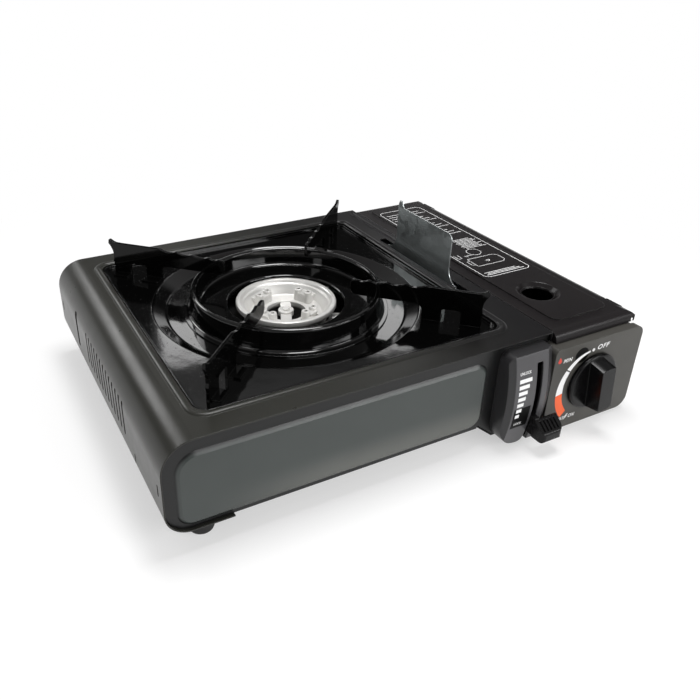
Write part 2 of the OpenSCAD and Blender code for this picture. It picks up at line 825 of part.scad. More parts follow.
// Solid of the lever's housing, swept round the axis of its face; inset shrinks it
module house_form(x0, x1, inset) {
    bevel_x = 3.4;
    side_x = 6.6;
    face = house_r - inset;
    translate([0, house_y + house_r, house_z]) rotate([0, 90, 0])
        rotate_extrude($fn = 180)
            polygon([[face - 16, x0 + inset], [face - 3.2, x0 + inset], [face, x0 + bevel_x + inset / 2],
                     [face, x1 - side_x - inset / 2], [face - 3.6, x1 - inset], [face - 16, x1 - inset]]);
}

module lever_escutcheon() {
    x0 = 54;
    x1 = plate_x0 - 0.2;
    z0 = 2.4;
    z1 = 73;
    wall = 2;
    slot_w = 5;
    slot_top = 66;
    slot_x = lever_x - slot_w / 2;
    color([0.16, 0.16, 0.17]) difference() {
        intersection() {
            house_form(x0, x1, 0);
            along_y(-140, panel_y) soft_rect(x0, z0, x1, z1, [17, 4, 3, 6]);
        }
        intersection() {
            house_form(x0, x1, wall);
            along_y(-140, panel_y + 1)
                soft_rect(x0 + wall, z0 + wall, x1 - wall, z1 - wall, [15, 2, 1, 4]);
        }
        // slot for the lever, open at the bottom
        along_y(-140, panel_y + 1) {
            soft_rect(slot_x, -10, slot_x + slot_w, slot_top, [0, 0, 1, 1]);
            nick(slot_x, z0, 3.5, 90);
        }
    }
}

module turned_lever() {
    translate([0, lever_y, lever_z]) rotate([-lever_angle, 0, 0])
        translate([0, -lever_y, -lever_z]) children();
}

module lock_lever() {
    // moulded lever: hub, stem through the slot, ribbed paddle and crank peg
    stem_t = 4;
    paddle_x = lever_x - 2.2;
    paddle_w = 18.5;
    hub_r = 6.5;
    tip = total_d / 2 + lever_y;
    peg_z = lever_z + crank_r * cos(lever_swing / 2);
    // side views, as reach in front of the pin and height above it
    stem = [[0, 5], [37, 1.5], [46.5, -11.2], [54.6, -12.6], [56, -14], [56, -26.2],
            [47, -25.4], [36, -9], [0, -5]];
    paddle = concat([[54.2, -13.2], [55.4, -13.2]], arc_pts(tip - 2.2, -21.2, 2.2, 52, 0, 3),
                    arc_pts(tip - 1.7, -25, 1.7, 0, -90, 3), [[54.2, -26.7]]);
    color([0.07, 0.07, 0.08]) turned_lever() difference() {
        union() {
            rod_x(lever_y, lever_z, hub_r, lever_x - 5, lever_x + 5);
            translate([0, lever_y, lever_z]) {
                along_x(lever_x - stem_t / 2, lever_x + stem_t / 2)
                    mirror([1, 0]) polygon(stem);
                intersection() {
                    along_x(paddle_x, paddle_x + paddle_w) mirror([1, 0]) polygon(paddle);
                    translate([0, 0, -40]) linear_extrude(40)
                        soft_rect(paddle_x, -tip, paddle_x + paddle_w, 0, [3.5, 4.5, 0, 0]);
                }
            }
            rod_x(peg_y, peg_z, 3.4, lever_x + 0.5, lever_x + 4.5);
            rod_x(peg_y, peg_z, 2, lever_x + 4, 98.6);
            translate([lever_x + 0.5, lever_y - 5, lever_z + 2]) cube([4, 5, 6]);
        }
        rod_x(lever_y, lever_z, 2.5 + fit, lever_x - 6, lever_x + 6);
        // grooves between the ribs of the paddle
        translate([0, lever_y, lever_z]) for (i = [0:4])
            along_x(paddle_x + 2.6 + 2.9 * i, paddle_x + 3.9 + 2.9 * i)
                mirror([1, 0]) polygon([[56.4, -10], [tip - 2, -14], [tip - 2, -19.9],
                                        [56.4, -15.2]]);
    }
}

pin_x0 = 66;

module lever_pin() {
    color([0.78, 0.79, 0.80]) rod_x(lever_y, lever_z, 2.5, pin_x0, seam_x);
}

module lever_bracket() {
    // upright plate that carries the outer end of the lever's pin
    t = 1.2;
    color([0.60, 0.62, 0.64]) {
        along_x(pin_x0 - t, pin_x0)
            soft_rect(lever_y - 9, belly_z + sheet, lever_y + 9, lever_z + 8, [0, 0, 6, 6]);
        translate([pin_x0 - t, lever_y - 9, belly_z + sheet]) cube([10, 18, t]);
    }
}

car_x0 = 108;
car_x1 = 155;
tail_y = 115;
peg_y = lever_y - crank_r * sin(lever_swing / 2);
car_travel = 2 * crank_r * sin(lever_swing / 2);
car_shift = car_travel * lever_angle / lever_swing;

module cartridge_carriage() {
    // sliding cradle: a tray under the cartridge, a tail plate behind it and a
    // fork that the lever's peg moves
    fork_x = 96.9;
    rail_x = 13;
    rail_top = can_z - sqrt(pow(can_d / 2, 2) - pow(rail_x, 2)) - 0.1;
    color([0.64, 0.66, 0.68]) translate([0, car_shift, 0]) difference() {
        union() {
            translate([car_x0, -70, car_z]) cube([car_x1 - car_x0, tail_y + 70, car_t]);
            translate([fork_x, -84, car_z]) cube([car_x0 - fork_x + 4, 17, car_t]);
            translate([car_x0, -84, car_z]) cube([8, 20, car_t]);
            along_x(fork_x, fork_x + 1.2)
                soft_rect(-87, car_z, -67, lever_z + 13.2, [0, 0, 4, 4]);
            along_y(tail_y, tail_y + 1.2)
                soft_rect(can_x - 17, car_z, can_x + 17, can_z + 8, [0, 0, 10, 10]);
            // side rails of the cradle
            for (s = [-1, 1]) translate([can_x + s * rail_x - 0.6, -60, car_z])
                cube([1.2, tail_y + 60, rail_top - car_z]);
        }
        along_x(fork_x - 1, fork_x + 3)
            soft_rect(peg_y - 2.35, lever_z + 5.4, peg_y + 2.35, lever_z + 11.5,
                      [2.3, 2.3, 2.3, 2.3]);
    }
}

module carriage_guides() {
    // two folded rails that hold the cradle down
    z0 = belly_z + sheet;
    top = car_z + car_t + 0.4;
    color([0.60, 0.62, 0.64]) for (s = [0, 1]) {
        x = s == 0 ? car_x0 - 1.6 : car_x1 + 0.4;
        translate([x, -50, z0]) cube([1.2, 150, top - z0 + 1.2]);
        translate([s == 0 ? x : x - 3, -50, top]) cube([4.2, 150, 1.2]);
    }
}

// ---- lid -----------------------------------------------------------------------

module turned_lid() {
    translate([hinge_x, 0, hinge_z]) rotate([0, lid_angle, 0])
        translate([-hinge_x, 0, -hinge_z]) children();
}

// Solid with rounded top edges; inset shrinks it on every side but the bottom
module lid_form(inset) {
    x0 = lid_x0 + inset;
    x1 = lid_x1 - inset;
    y0 = lid_front + inset;
    y1 = back_y - lid_set - inset;
    z1 = top_z - inset;
    intersection() {
        along_y(y0, y1) soft_rect(x0, 40, x1, z1, [0, 0, 10 - inset, 1 - inset]);
        along_x(x0, x1) soft_rect(y0, 40, y1, z1, [0, 0, 7 - inset, 7 - inset]);
        linear_extrude(100) soft_rect(x0, y0, x1, y1, [0, 5 - inset, 12 - inset, 0]);
    }
}

hole_x = 128;
hole_y = -64.5;

module hinge_notch(y) {
    rear_gap = y > 0 ? 5 : 2.4;
    translate([hinge_x - 3.5, y - barrel_len / 2 - 2.4, 50])
        cube([12, barrel_len + 2.4 + rear_gap, 40]);
}

module bay_lid() {
    // pressed lid: raised field, dished vent and rolled hinge barrels
    color([0.13, 0.12, 0.12]) turned_lid() difference() {
        union() {
            difference() {
                union() {
                    lid_form(0);
                    translate([0, 0, top_z - 1]) linear_extrude(2)
                        soft_rect(106.5, front_y + 10, 156, back_y - 10, [7, 7, 7, 7]);
                }
                lid_form(sheet);
                translate([0, 0, top_z - 2]) linear_extrude(2 + 1 - sheet)
                    soft_rect(107.3, front_y + 10.8, 155.2, back_y - 10.8,
                              [6.2, 6.2, 6.2, 6.2]);
                translate([90, -200, 0]) cube([100, 400, lid_low]);
                // the front edge stands over the control plate
                translate([90, -200, 0]) cube([100, 200 + panel_y + 0.6, lid_over]);
                translate([90, -200, 0]) cube([67, 200 + front_y + 9, lid_over]);
                // the seam edge is only 5 deep
                translate([lid_x0 - 1, front_y + 8, 0])
                    cube([3, body_d - 16, top_z - 5]);
                for (y = [hinge_front, hinge_rear]) hinge_notch(y);
                translate([hole_x, hole_y, top_z - 5]) cylinder(r = 16.5, h = 10);
            }
            // dish of the vent
            translate([hole_x, hole_y, 0]) rotate_extrude()
                polygon(sheet_pts(concat([[17.5, top_z + 1]],
                    arc_pts(16, top_z - 0.5, 1.5, 90, 150, 3),
                    arc_pts(12.2, top_z - 0.9, 1.2, 300, 200, 3),
                    [[11.6, top_z - 2.2]]), -sheet));
            for (y = [hinge_front, hinge_rear]) {
                rod_y(hinge_x, hinge_z, hinge_r, y - barrel_len / 2, y + barrel_len / 2);
                translate([hinge_x - 7, y - barrel_len / 2, top_z - sheet - 1.4])
                    cube([7, barrel_len, 1.4]);
                translate([hinge_x - 7, y - barrel_len / 2, top_z - sheet])
                    cube([3.6, barrel_len, sheet]);
            }
        }
        for (y = [hinge_front, hinge_rear])
            rod_y(hinge_x, hinge_z, pin_r + fit, y - 20, y + 20);
    }
}

module lid_hinge_pins() {
    color([0.78, 0.79, 0.80]) for (y = [hinge_front, hinge_rear])
        rod_y(hinge_x, hinge_z, pin_r, y - barrel_len / 2 - 1.6, y + barrel_len / 2 + 1.6);
}

module lid_hinge_ears() {
    // pressed ears that rise from the right wall beside each barrel
    t = 1.2;
    color([0.20, 0.20, 0.19]) for (y = [hinge_front, hinge_rear], s = [-1, 1]) {
        y0 = s > 0 ? y + barrel_len / 2 + 0.4 : y - barrel_len / 2 - 0.4 - t;
        along_y(y0, y0 + t) difference() {
            union() {
                translate([hinge_x, hinge_z]) circle(3.4);
                polygon([[hinge_x - 3.4, hinge_z], [hinge_x + 3.4, hinge_z],
                         [right_x - sheet, side_top], [right_x - sheet, side_top - 9],
                         [hinge_x + 0.5, side_top - 9]]);
            }
            translate([hinge_x, hinge_z]) circle(pin_r);
        }
    }
}

// ---- feet and fasteners ----------------------------------------------------------

foot_r = 8;

module rubber_foot(x, y, top) {
    color([0.05, 0.05, 0.05]) translate([x, y, 0]) rotate_extrude()
        polygon(concat([[0, 0], [5, 0]], arc_pts(foot_r - 3, 3, 3, 300, 360, 4),
                       [[foot_r, top], [0, top]]));
}

foot_in = 25.5;
foot_dy = 16.5;
belly_foot_in = 23;

module foot_front_left() { rubber_foot(left_x + foot_in, front_y + foot_dy, skirt_z); }
module foot_rear_left() { rubber_foot(left_x + foot_in, back_y - foot_dy, skirt_z); }
module foot_front_right() { rubber_foot(right_x - belly_foot_in, front_y + foot_dy, belly_z); }
module foot_rear_right() { rubber_foot(right_x - belly_foot_in, back_y - foot_dy, belly_z); }

module pan_screw(x, y, z, up) {
    translate([x, y, z]) mirror([0, 0, up ? 0 : 1]) difference() {
        cylinder(r1 = 3, r2 = 2, h = 1.6, $fn = 32);
        translate([-1.8, -0.4, 0.9]) cube([3.6, 0.8, 1]);
        translate([-0.4, -1.8, 0.9]) cube([0.8, 3.6, 1]);
    }
}

module base_screws() {
    color([0.70, 0.71, 0.72]) for (p = [[-110, -98], [20, -98], [-110, 122], [20, 122]])
        pan_screw(p[0], p[1], base_z - sheet, false);
}

module regulator_screws() {
    color([0.70, 0.71, 0.72]) for (s = [-1, 1])
        pan_screw(knob_x + s * reg_foot, (reg_front + reg_back) / 2, belly_z, false);
}

// ---- the stove ---------------------------------------------------------------------

body_shell();
front_panel();
rear_panel();
base_pan();
bay_partition();
heat_shield();
drip_tray();
burner_ring();
pan_arm_front_left();
pan_arm_front_right();
pan_arm_rear_left();
pan_arm_rear_right();
burner_head();
burner_chamber();
burner_stand();
mixing_tube();
air_collar();
gas_nozzle();
spark_electrode();
ignition_lead();
regulator_body();
regulator_cap();
cartridge_collar();
piezo_igniter();
igniter_plunger();
control_plate();
control_knob();
control_spindle();
igniter_cam();
lever_escutcheon();
lock_lever();
lever_pin();
lever_bracket();
cartridge_carriage();
carriage_guides();
bay_lid();
lid_hinge_pins();
lid_hinge_ears();
foot_front_left();
foot_front_right();
foot_rear_left();
foot_rear_right();
base_screws();
regulator_screws();
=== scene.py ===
# %% [markdown]
# # A butane cassette stove
# The stove is a low box of pressed steel. A square enamelled tray with a ring and four arms lies
# in its top, a bright burner sits in the middle, and the bay for a gas cartridge lies under the
# narrow lid on the right. The parts come ready made from the construction model, all but the
# burner's head, which is cast again here with more detail. This notebook gives them their paint,
# enamel, metal and plastic, prints the marks on the controls and the lid, and lights the scene.

# %% Load the stove
import json
import math

import bmesh
import bpy
from mathutils import Matrix, Vector


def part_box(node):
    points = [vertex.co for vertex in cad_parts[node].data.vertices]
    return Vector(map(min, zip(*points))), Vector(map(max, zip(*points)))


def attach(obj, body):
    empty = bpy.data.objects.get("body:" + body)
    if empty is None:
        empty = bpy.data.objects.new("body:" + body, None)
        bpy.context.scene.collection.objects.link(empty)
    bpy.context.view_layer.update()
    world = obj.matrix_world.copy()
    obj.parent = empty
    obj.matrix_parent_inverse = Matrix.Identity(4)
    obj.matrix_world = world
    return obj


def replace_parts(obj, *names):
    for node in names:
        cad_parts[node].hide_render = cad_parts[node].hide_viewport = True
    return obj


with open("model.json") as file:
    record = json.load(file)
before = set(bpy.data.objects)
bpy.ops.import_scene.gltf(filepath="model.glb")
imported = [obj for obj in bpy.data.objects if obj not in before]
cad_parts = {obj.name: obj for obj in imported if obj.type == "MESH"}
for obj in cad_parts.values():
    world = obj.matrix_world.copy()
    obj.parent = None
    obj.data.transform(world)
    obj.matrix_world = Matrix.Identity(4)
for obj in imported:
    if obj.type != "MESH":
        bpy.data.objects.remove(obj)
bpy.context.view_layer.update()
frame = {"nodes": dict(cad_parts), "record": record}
nodes = frame["nodes"]
scene = bpy.context.scene
MM = 0.001

# %% [markdown]
# ## The camera
# The stove is seen from its front left and from above. A camera could be aimed with a constraint,
# but that keeps it level, and a real picture is seldom quite level. Here its axes are worked out
# from an azimuth and an elevation, a small roll is added, and the lens shift moves the picture
# without turning the camera.

# %% Aim the camera
view_azimuth, view_elevation, view_roll = -27.412, 28.934, 0.407
view_distance = 480.8 * MM
view_target = Vector((-51.05, -33.6, 81.7)) * MM
picture_px, focal_px = 700, 734.9
middle_px = (297.7, 322.6)


def camera_axes(azimuth, elevation):
    a, e = math.radians(azimuth), math.radians(elevation)
    back = Vector((math.sin(a) * math.cos(e), -math.cos(a) * math.cos(e), math.sin(e)))
    right = Vector((math.cos(a), math.sin(a), 0))
    return right, back.cross(right), back


right, up, back = camera_axes(view_azimuth, view_elevation)
lens = bpy.data.cameras.new("camera")
lens.sensor_width = 36
lens.lens = focal_px * lens.sensor_width / picture_px
lens.shift_x = (picture_px / 2 - middle_px[0]) / picture_px
lens.shift_y = (middle_px[1] - picture_px / 2) / picture_px
camera = bpy.data.objects.new("camera", lens)
scene.collection.objects.link(camera)
turn = Matrix((right, up, back)).transposed().to_4x4()
camera.matrix_world = (Matrix.Translation(view_target + back * view_distance) @ turn
                       @ Matrix.Rotation(math.radians(view_roll), 4, "Z"))
scene.camera = camera
print("lens", round(lens.lens, 2), "mm at", [round(v, 3) for v in camera.location])

# %% [markdown]
# ## Sums of sockets
# A finish is easier to read as a formula than as a picture of wired nodes. The Math nodes could be
# added and wired one by one, but the class below wraps a socket, so that `0.4 + 0.2 * grain` adds
# them by itself. Colours and vectors don't go through Math nodes, which would turn them grey: they
# use Mix and Vector Math.

# %% A socket that can be used in sums
class Wire:
    """board is the material or world whose nodes the socket belongs to."""

    def __init__(self, board, socket):
        self.board = board
        self.socket = socket

    def math(self, operation, first, second=0.0):
        return self.board.math(operation, first, second)

    def __add__(self, other):
        return self.math("ADD", self, other)

    def __radd__(self, other):
        return self.math("ADD", other, self)

    def __sub__(self, other):
        return self.math("SUBTRACT", self, other)

    def __rsub__(self, other):
        return self.math("SUBTRACT", other, self)

    def __mul__(self, other):
        return self.math("MULTIPLY", self, other)

    def __rmul__(self, other):
        return self.math("MULTIPLY", other, self)

    def __pow__(self, other):
        return self.math("POWER", self, other)

    def __rpow__(self, other):
        return self.math("POWER", other, self)

    def absolute(self):
        return self.math("ABSOLUTE", self)

    def sine(self):
        return self.math("SINE", self)


print("sockets can be added, taken away, multiplied and raised to a power")

# %% [markdown]
# ## A board of nodes and a finish
# Blender draws a material as nodes on a board, and the world behind the stove has such a board too.
# They could be placed by hand in the Shader Editor. Here one method, `node`, makes every node: it
# takes the node's type, then its settings, then what goes into its sockets, which may be numbers,
# colours or other wires. A finish is a board with a Principled shader already in its output.

# %% The board and the finish
class Board:
    """place holds the texture coordinates that the other nodes start from."""

    def __init__(self, tree, coordinates):
        self.tree = tree
        self.tree.nodes.clear()
        self.place = self.node("ShaderNodeTexCoord", {}, {}, coordinates)

    def plug(self, socket, value):
        if isinstance(value, Wire):
            self.tree.links.new(value.socket, socket)
        else:
            socket.default_value = value

    def node(self, kind, settings, sockets, out=0):
        """Gives the wire of one output, or the node itself where it has none."""
        made = self.tree.nodes.new(kind)
        for name, value in settings.items():
            if name == "stops":
                ramp = made.color_ramp.elements
                while len(ramp) < len(value):
                    ramp.new(0.5)
                for stop, (position, colour) in zip(ramp, value):
                    stop.position = position
                    stop.color = colour
            else:
                setattr(made, name, value)
        for key, value in sockets.items():
            self.plug(made.inputs[key], value)
        return Wire(self, made.outputs[out]) if made.outputs else made

    def math(self, operation, first, second=0.0):
        return self.node("ShaderNodeMath", {"operation": operation}, {0: first, 1: second})

    def noise(self, scale, detail=2.0, rough=0.5):
        return self.node("ShaderNodeTexNoise", {}, {"Vector": self.place, "Scale": scale,
                                                    "Detail": detail, "Roughness": rough})

    def parts(self, vector):
        split = self.node("ShaderNodeSeparateXYZ", {}, {0: vector})
        return [Wire(self, output) for output in split.socket.node.outputs]

    def blend(self, amount, first, second):
        """Mixes two colours, which are inputs 6 and 7 of the Mix node and its output 2."""
        sockets = {0: amount, 6: first, 7: second}
        return self.node("ShaderNodeMix", {"data_type": "RGBA"}, sockets, 2)

    def smooth(self, value, low, high):
        """0 up to low and 1 from high on. With low above high it falls instead of rising."""
        return self.node("ShaderNodeMapRange", {"interpolation_type": "SMOOTHSTEP"},
                         {"Value": value, "From Min": low, "From Max": high})


class Finish(Board):
    def __init__(self, name):
        self.name = name
        self.material = bpy.data.materials.new(name)
        self.material.use_nodes = True
        super().__init__(self.material.node_tree, "Object")
        self.shader = self.node("ShaderNodeBsdfPrincipled", {}, {})
        self.output = self.node("ShaderNodeOutputMaterial", {}, {"Surface": self.shader})

    def set(self, **sockets):
        for name, value in sockets.items():
            self.plug(self.shader.socket.node.inputs[name.replace("_", " ")], value)


def grey(value, tint=(1, 1, 1)):
    return (value * tint[0], value * tint[1], value * tint[2], 1)


def darker(colour, share):
    return tuple(c * share for c in colour[:3]) + (1,)


print("a finish can make:", [name for name in vars(Board) if not name.startswith("_")])

# %% [markdown]
# ## Edges
# No real edge is perfectly sharp: paint and pressing leave a small round, and that round catches
# the light as a thin line. A Bevel modifier could cut it into the mesh, but on the dense meshes
# of pressed sheet it makes slivers. The Bevel shader node rounds only the normals, which is enough
# for a round of a few tenths of a millimetre. How far it bends the normal also tells where the
# edges are. There paint and plastic are made paler, partly because the paint wears thin and partly
# as a painted highlight, and zinc shows its brighter cut edge.

# %% Round and worn edges
round_samples = 6


def rounded(finish, radius_mm):
    return finish.node("ShaderNodeBevel", {"samples": round_samples}, {"Radius": radius_mm * MM})


def edge_mask(finish, round_normal):
    true_normal = finish.node("ShaderNodeNewGeometry", {}, {}, "True Normal")
    facing = finish.node("ShaderNodeVectorMath", {"operation": "DOT_PRODUCT"},
                         {0: round_normal, 1: true_normal}, "Value")
    least_bend, full_bend = 0.02, 0.2
    return finish.smooth(1 - facing, least_bend, full_bend)


def bumped(finish, height, depth_mm, normal):
    return finish.node("ShaderNodeBump", {}, {"Height": height, "Distance": depth_mm * MM,
                                              "Strength": 1.0, "Normal": normal})


print("the round of an edge is the mean of", round_samples, "samples")

# %% [markdown]
# ## Baked paint
# The body, the panels and the lid are sprayed and baked. Such paint is satin, has a fine orange
# peel, and goes a little rougher where hands and pans rub it. Its edges are paler there, partly
# from wear and partly as a painted highlight along their rounds. One function makes all of them. A
# single colour would look flat, so each has two tones with a mask between them: the lid and the
# control plate are cloudy, while on the body the second tone is painted shade that darkens it to
# the right, and on the panels painted shade makes them near black outside their raised fields. The
# front panel also carries a painted reflection of the floor, which makes it paler low down.

# %% Masks for a coat's tones, its painted shade and its painted floor reflection
panel_front, panel_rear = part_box("front_panel")[0].y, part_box("rear_panel")[1].y
panel_middle = (panel_front + panel_rear) / 2


# The body's painted shade, which darkens it towards the right.
def painted_shade_to_the_right(paint):
    x = paint.parts(paint.place)[0]
    return paint.smooth(x, -110 * MM, 110 * MM)


# The panels' painted shade: near black on the flanges outside the raised fields.
def painted_shade_off_the_field(paint):
    """How far a point lies in from the faces of the two panels' raised fields. Deep in, on the
    flanges, the paint takes its painted shade.
    """
    y = paint.parts(paint.place)[1]
    inset = panel_rear - panel_middle - (y - panel_middle).absolute()
    return paint.smooth(inset, 0.6 * MM, 1.6 * MM)


# Where the front panel carries a painted reflection of the floor: low down, away from its left end.
def floor_reflection_mask(paint):
    x, _, z = paint.parts(paint.place)
    return paint.smooth(z, 42 * MM, 22 * MM) * paint.smooth(x, -160 * MM, -60 * MM)


def by_cloud(paint):
    return paint.noise(35, 3)


print("panel faces at y =", round(panel_front, 4), "and", round(panel_rear, 4), "m")

# %% Paints
def baked_paint(name, colour, second, blend_by, roughness, shine, floor_reflection_tone=None):
    """second is the coat's other tone, which on the body and the panels is painted shade, and
    blend_by makes the mask between the two. The last colour, where given, is a painted reflection
    of the floor that makes the front panel paler low down.
    """
    paint = Finish(name)
    if floor_reflection_tone:
        colour = paint.blend(floor_reflection_mask(paint), colour, floor_reflection_tone)
    cloud = paint.noise(22, 4)
    rub = paint.noise(90, 5, 0.65)
    peel = paint.noise(1500, 2)
    round_normal = rounded(paint, 0.5)
    edge = edge_mask(paint, round_normal)
    # On the body and the panels the second tone is painted shade; on the lid and the plate it is
    # cloud.
    coat = paint.blend(blend_by(paint), colour, second)
    tone = paint.blend(cloud * 0.25, coat, grey(0.0))
    # Paler edges where the rub noise is high: partly wear, partly a painted highlight along the
    # rounds.
    wear_and_highlight = edge * paint.smooth(rub, 0.35, 0.75)
    paint.set(Base_Color=paint.blend(wear_and_highlight * 0.35, tone, grey(0.16)),
              Roughness=roughness + 0.10 * (rub - 0.5) + 0.06 * cloud,
              Specular_IOR_Level=shine,
              Normal=bumped(paint, peel, 0.012, round_normal))
    return paint


# The body's second tone is painted shade towards the right.
body_paint = baked_paint("body_paint", grey(0.025, (1.0, 1.0, 0.84)),
                         grey(0.006, (1.05, 0.97, 1.10)), painted_shade_to_the_right, 0.27, 0.26)
# The front panel's second tone is painted shade on its flanges, and its last colour a painted
# reflection of the floor low down.
front_paint = baked_paint("front_paint", grey(0.056, (0.90, 1.05, 1.0)),
                          grey(0.004, (0.95, 1.0, 1.05)), painted_shade_off_the_field, 0.32, 0.40,
                          grey(0.120, (0.98, 1.02, 0.94)))
lid_paint = baked_paint("lid_paint", grey(0.008, (1.12, 0.95, 1.0)),
                        grey(0.012, (1.12, 0.95, 1.0)), by_cloud, 0.27, 0.20)
control_paint = baked_paint("control_paint", grey(0.070, (1.04, 1.0, 0.90)),
                            grey(0.056, (1.04, 1.0, 0.90)), by_cloud, 0.32, 0.28)
print("paints:", [paint.name for paint in (body_paint, front_paint, lid_paint, control_paint)])

# %% [markdown]
# ## Enamel
# The tray, the ring and the arms are dipped in glass enamel. It is black, nearly a mirror, and
# lies in slow waves because it ran while it melted, with a few pinholes and some dust. A plain
# black gloss would show the room as cleanly as a mirror does, so noise bends the normal a little.
# The arms shine less than the tray.

# %% Black enamel
def glass_enamel(name, shine):
    enamel = Finish(name)
    waves = enamel.noise(38, 2, 0.4)
    peel = enamel.noise(420, 2)
    to_pit = enamel.node("ShaderNodeTexVoronoi", {}, {"Vector": enamel.place, "Scale": 260},
                         "Distance")
    pit = enamel.smooth(to_pit, 0.16, 0.05)
    dust = enamel.smooth(enamel.noise(140, 4, 0.7), 0.55, 0.85)
    height = waves + peel * 0.06 - pit * 0.05
    enamel.set(Base_Color=enamel.blend(dust * 0.3, grey(0.0012), grey(0.008)),
               Roughness=0.07 + 0.09 * dust + 0.2 * pit,
               Specular_IOR_Level=shine,
               Normal=bumped(enamel, height, 0.16, rounded(enamel, 0.6)))
    return enamel


enamel = glass_enamel("enamel", 0.55)
arm_enamel = glass_enamel("arm_enamel", 0.2)
print("enamels:", enamel.name, arm_enamel.name)

# %% [markdown]
# ## Galvanised sheet
# The heat shield and the inner brackets are zinc-coated steel, which shows its crystals as flat
# patches, and its cut edges are brighter. The patches could be drawn, but a Voronoi texture gives
# each cell a colour of its own, and one channel of it is enough. The shield is darker towards its
# foot.

# %% Galvanised sheet
def zinc_sheet(name, colour, roughness, cut_edge, foot=None):
    """foot is a height in mm under which the sheet turns darker."""
    zinc = Finish(name)
    crystals = zinc.node("ShaderNodeTexVoronoi", {"feature": "F1"},
                         {"Vector": zinc.place, "Scale": 150}, "Color")
    spangle = zinc.parts(crystals)[0]
    smear = zinc.noise(18, 4, 0.6)
    scratch = zinc.noise(700, 2)
    round_normal = rounded(zinc, 0.35)
    edge = edge_mask(zinc, round_normal)
    shade = spangle * 0.35 + smear * 0.65
    if foot:
        z = zinc.parts(zinc.place)[2]
        shade = shade * zinc.smooth(z, (foot - 12) * MM, (foot + 20) * MM)
    sheet = zinc.blend(shade, darker(colour, 0.55), colour)
    zinc.set(Base_Color=zinc.blend(edge, sheet, cut_edge),
             Metallic=0.85,
             Roughness=roughness + 0.14 * (spangle - 0.5) + 0.1 * (smear - 0.5),
             Normal=bumped(zinc, scratch, 0.004, round_normal))
    return zinc


galvanised = zinc_sheet("galvanised", grey(0.62, (0.98, 1.0, 1.02)), 0.38, grey(0.75))
shield_steel = zinc_sheet("shield_steel", grey(0.66, (0.92, 1.0, 1.0)), 0.36, grey(0.88), 90)
print("sheets:", galvanised.name, shield_steel.name)

# %% [markdown]
# ## Aluminium of the burner
# The burner is cast, so it is matt and grainy, and only its rim was turned on a lathe. Turning
# leaves fine rings. They could be painted, but a sine of the distance from the burner's axis is
# exact at any size. The deep open middle is painted near black as shade, and masks made from the
# same distance keep the three surfaces apart.

# %% Cast and turned aluminium
def burner_metal(name):
    metal = Finish(name)
    x, y, z = metal.parts(metal.place)
    low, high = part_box("burner_head")
    centre = (low + high) / 2
    away = ((x - centre.x) ** 2 + (y - centre.y) ** 2) ** 0.5
    rings_per_m = 9000
    turned = (away * rings_per_m).sine()
    rim = metal.smooth(away, 27.5 * MM, 29 * MM)
    # Painted shade: the deep open middle is painted near black.
    painted_shade_in_middle = metal.smooth(away, 18 * MM, 16.5 * MM) * metal.smooth(z, 62.5 * MM, 60 * MM)
    cast = metal.noise(900, 3, 0.6)
    stain = metal.noise(60, 4, 0.6)
    round_normal = rounded(metal, 0.35)
    height = turned * 0.35 * rim + cast * (1.2 - rim)
    clean = metal.blend(stain, grey(0.64, (1.0, 0.99, 0.96)), grey(0.76, (1.0, 0.99, 0.96)))
    metal.set(Base_Color=metal.blend(painted_shade_in_middle * (0.86 + 0.14 * cast), clean, grey(0.004)),
              Metallic=0.5,
              Roughness=0.44 + 0.12 * (cast - 0.5) - 0.12 * rim,
              Normal=bumped(metal, height, 0.010, round_normal))
    return metal


burner_alloy = burner_metal("burner_alloy")
print("burner:", burner_alloy.name)

# %% [markdown]
# ## Plain metals
# The gas tube, the pins and the screws are plated steel, the regulator is a zinc casting and the
# jet is brass. Each could have stains and scratches of its own, but they lie inside and show
# little, so one function with a fine grain is enough. The strip under the burner is scorched steel.

# %% Plain metals
def plain_metal(name, colour, roughness, metallic=1.0):
    metal = Finish(name)
    grain = metal.noise(600, 3)
    metal.set(Base_Color=metal.blend(grain, darker(colour, 0.85), colour),
              Metallic=metallic,
              Roughness=roughness + 0.12 * (grain - 0.5),
              Normal=bumped(metal, grain, 0.004, rounded(metal, 0.2)))
    return metal


tube_steel = plain_metal("tube_steel", grey(0.62), 0.34)
die_cast = plain_metal("die_cast", grey(0.55, (1, 1, 1.02)), 0.5)
nozzle_brass = plain_metal("nozzle_brass", (0.72, 0.52, 0.22, 1), 0.3)
pin_steel = plain_metal("pin_steel", grey(0.72), 0.26)
scorched_steel = plain_metal("scorched_steel", grey(0.045, (1.0, 0.95, 0.88)), 0.5, 0.6)
print("metals:", tube_steel.name, die_cast.name, nozzle_brass.name, pin_steel.name,
      scorched_steel.name)

# %% [markdown]
# ## Mouldings
# The knob, the lever and its housing are moulded plastic, from semi-gloss to satin. Mouldings have
# a fine spark-eroded grain on their broad faces and paler edges, partly where fingers rub and
# partly as a painted highlight along their rounds. A picture could carry the grain, but noise in
# three dimensions needs no unwrapping. The rubber feet and the glazed sleeve of the spark wire come
# from the same function with other numbers. The lever housing's front is painted paler than its
# sides as painted light and shade, and a mask made from the surface's own direction tells them
# apart.

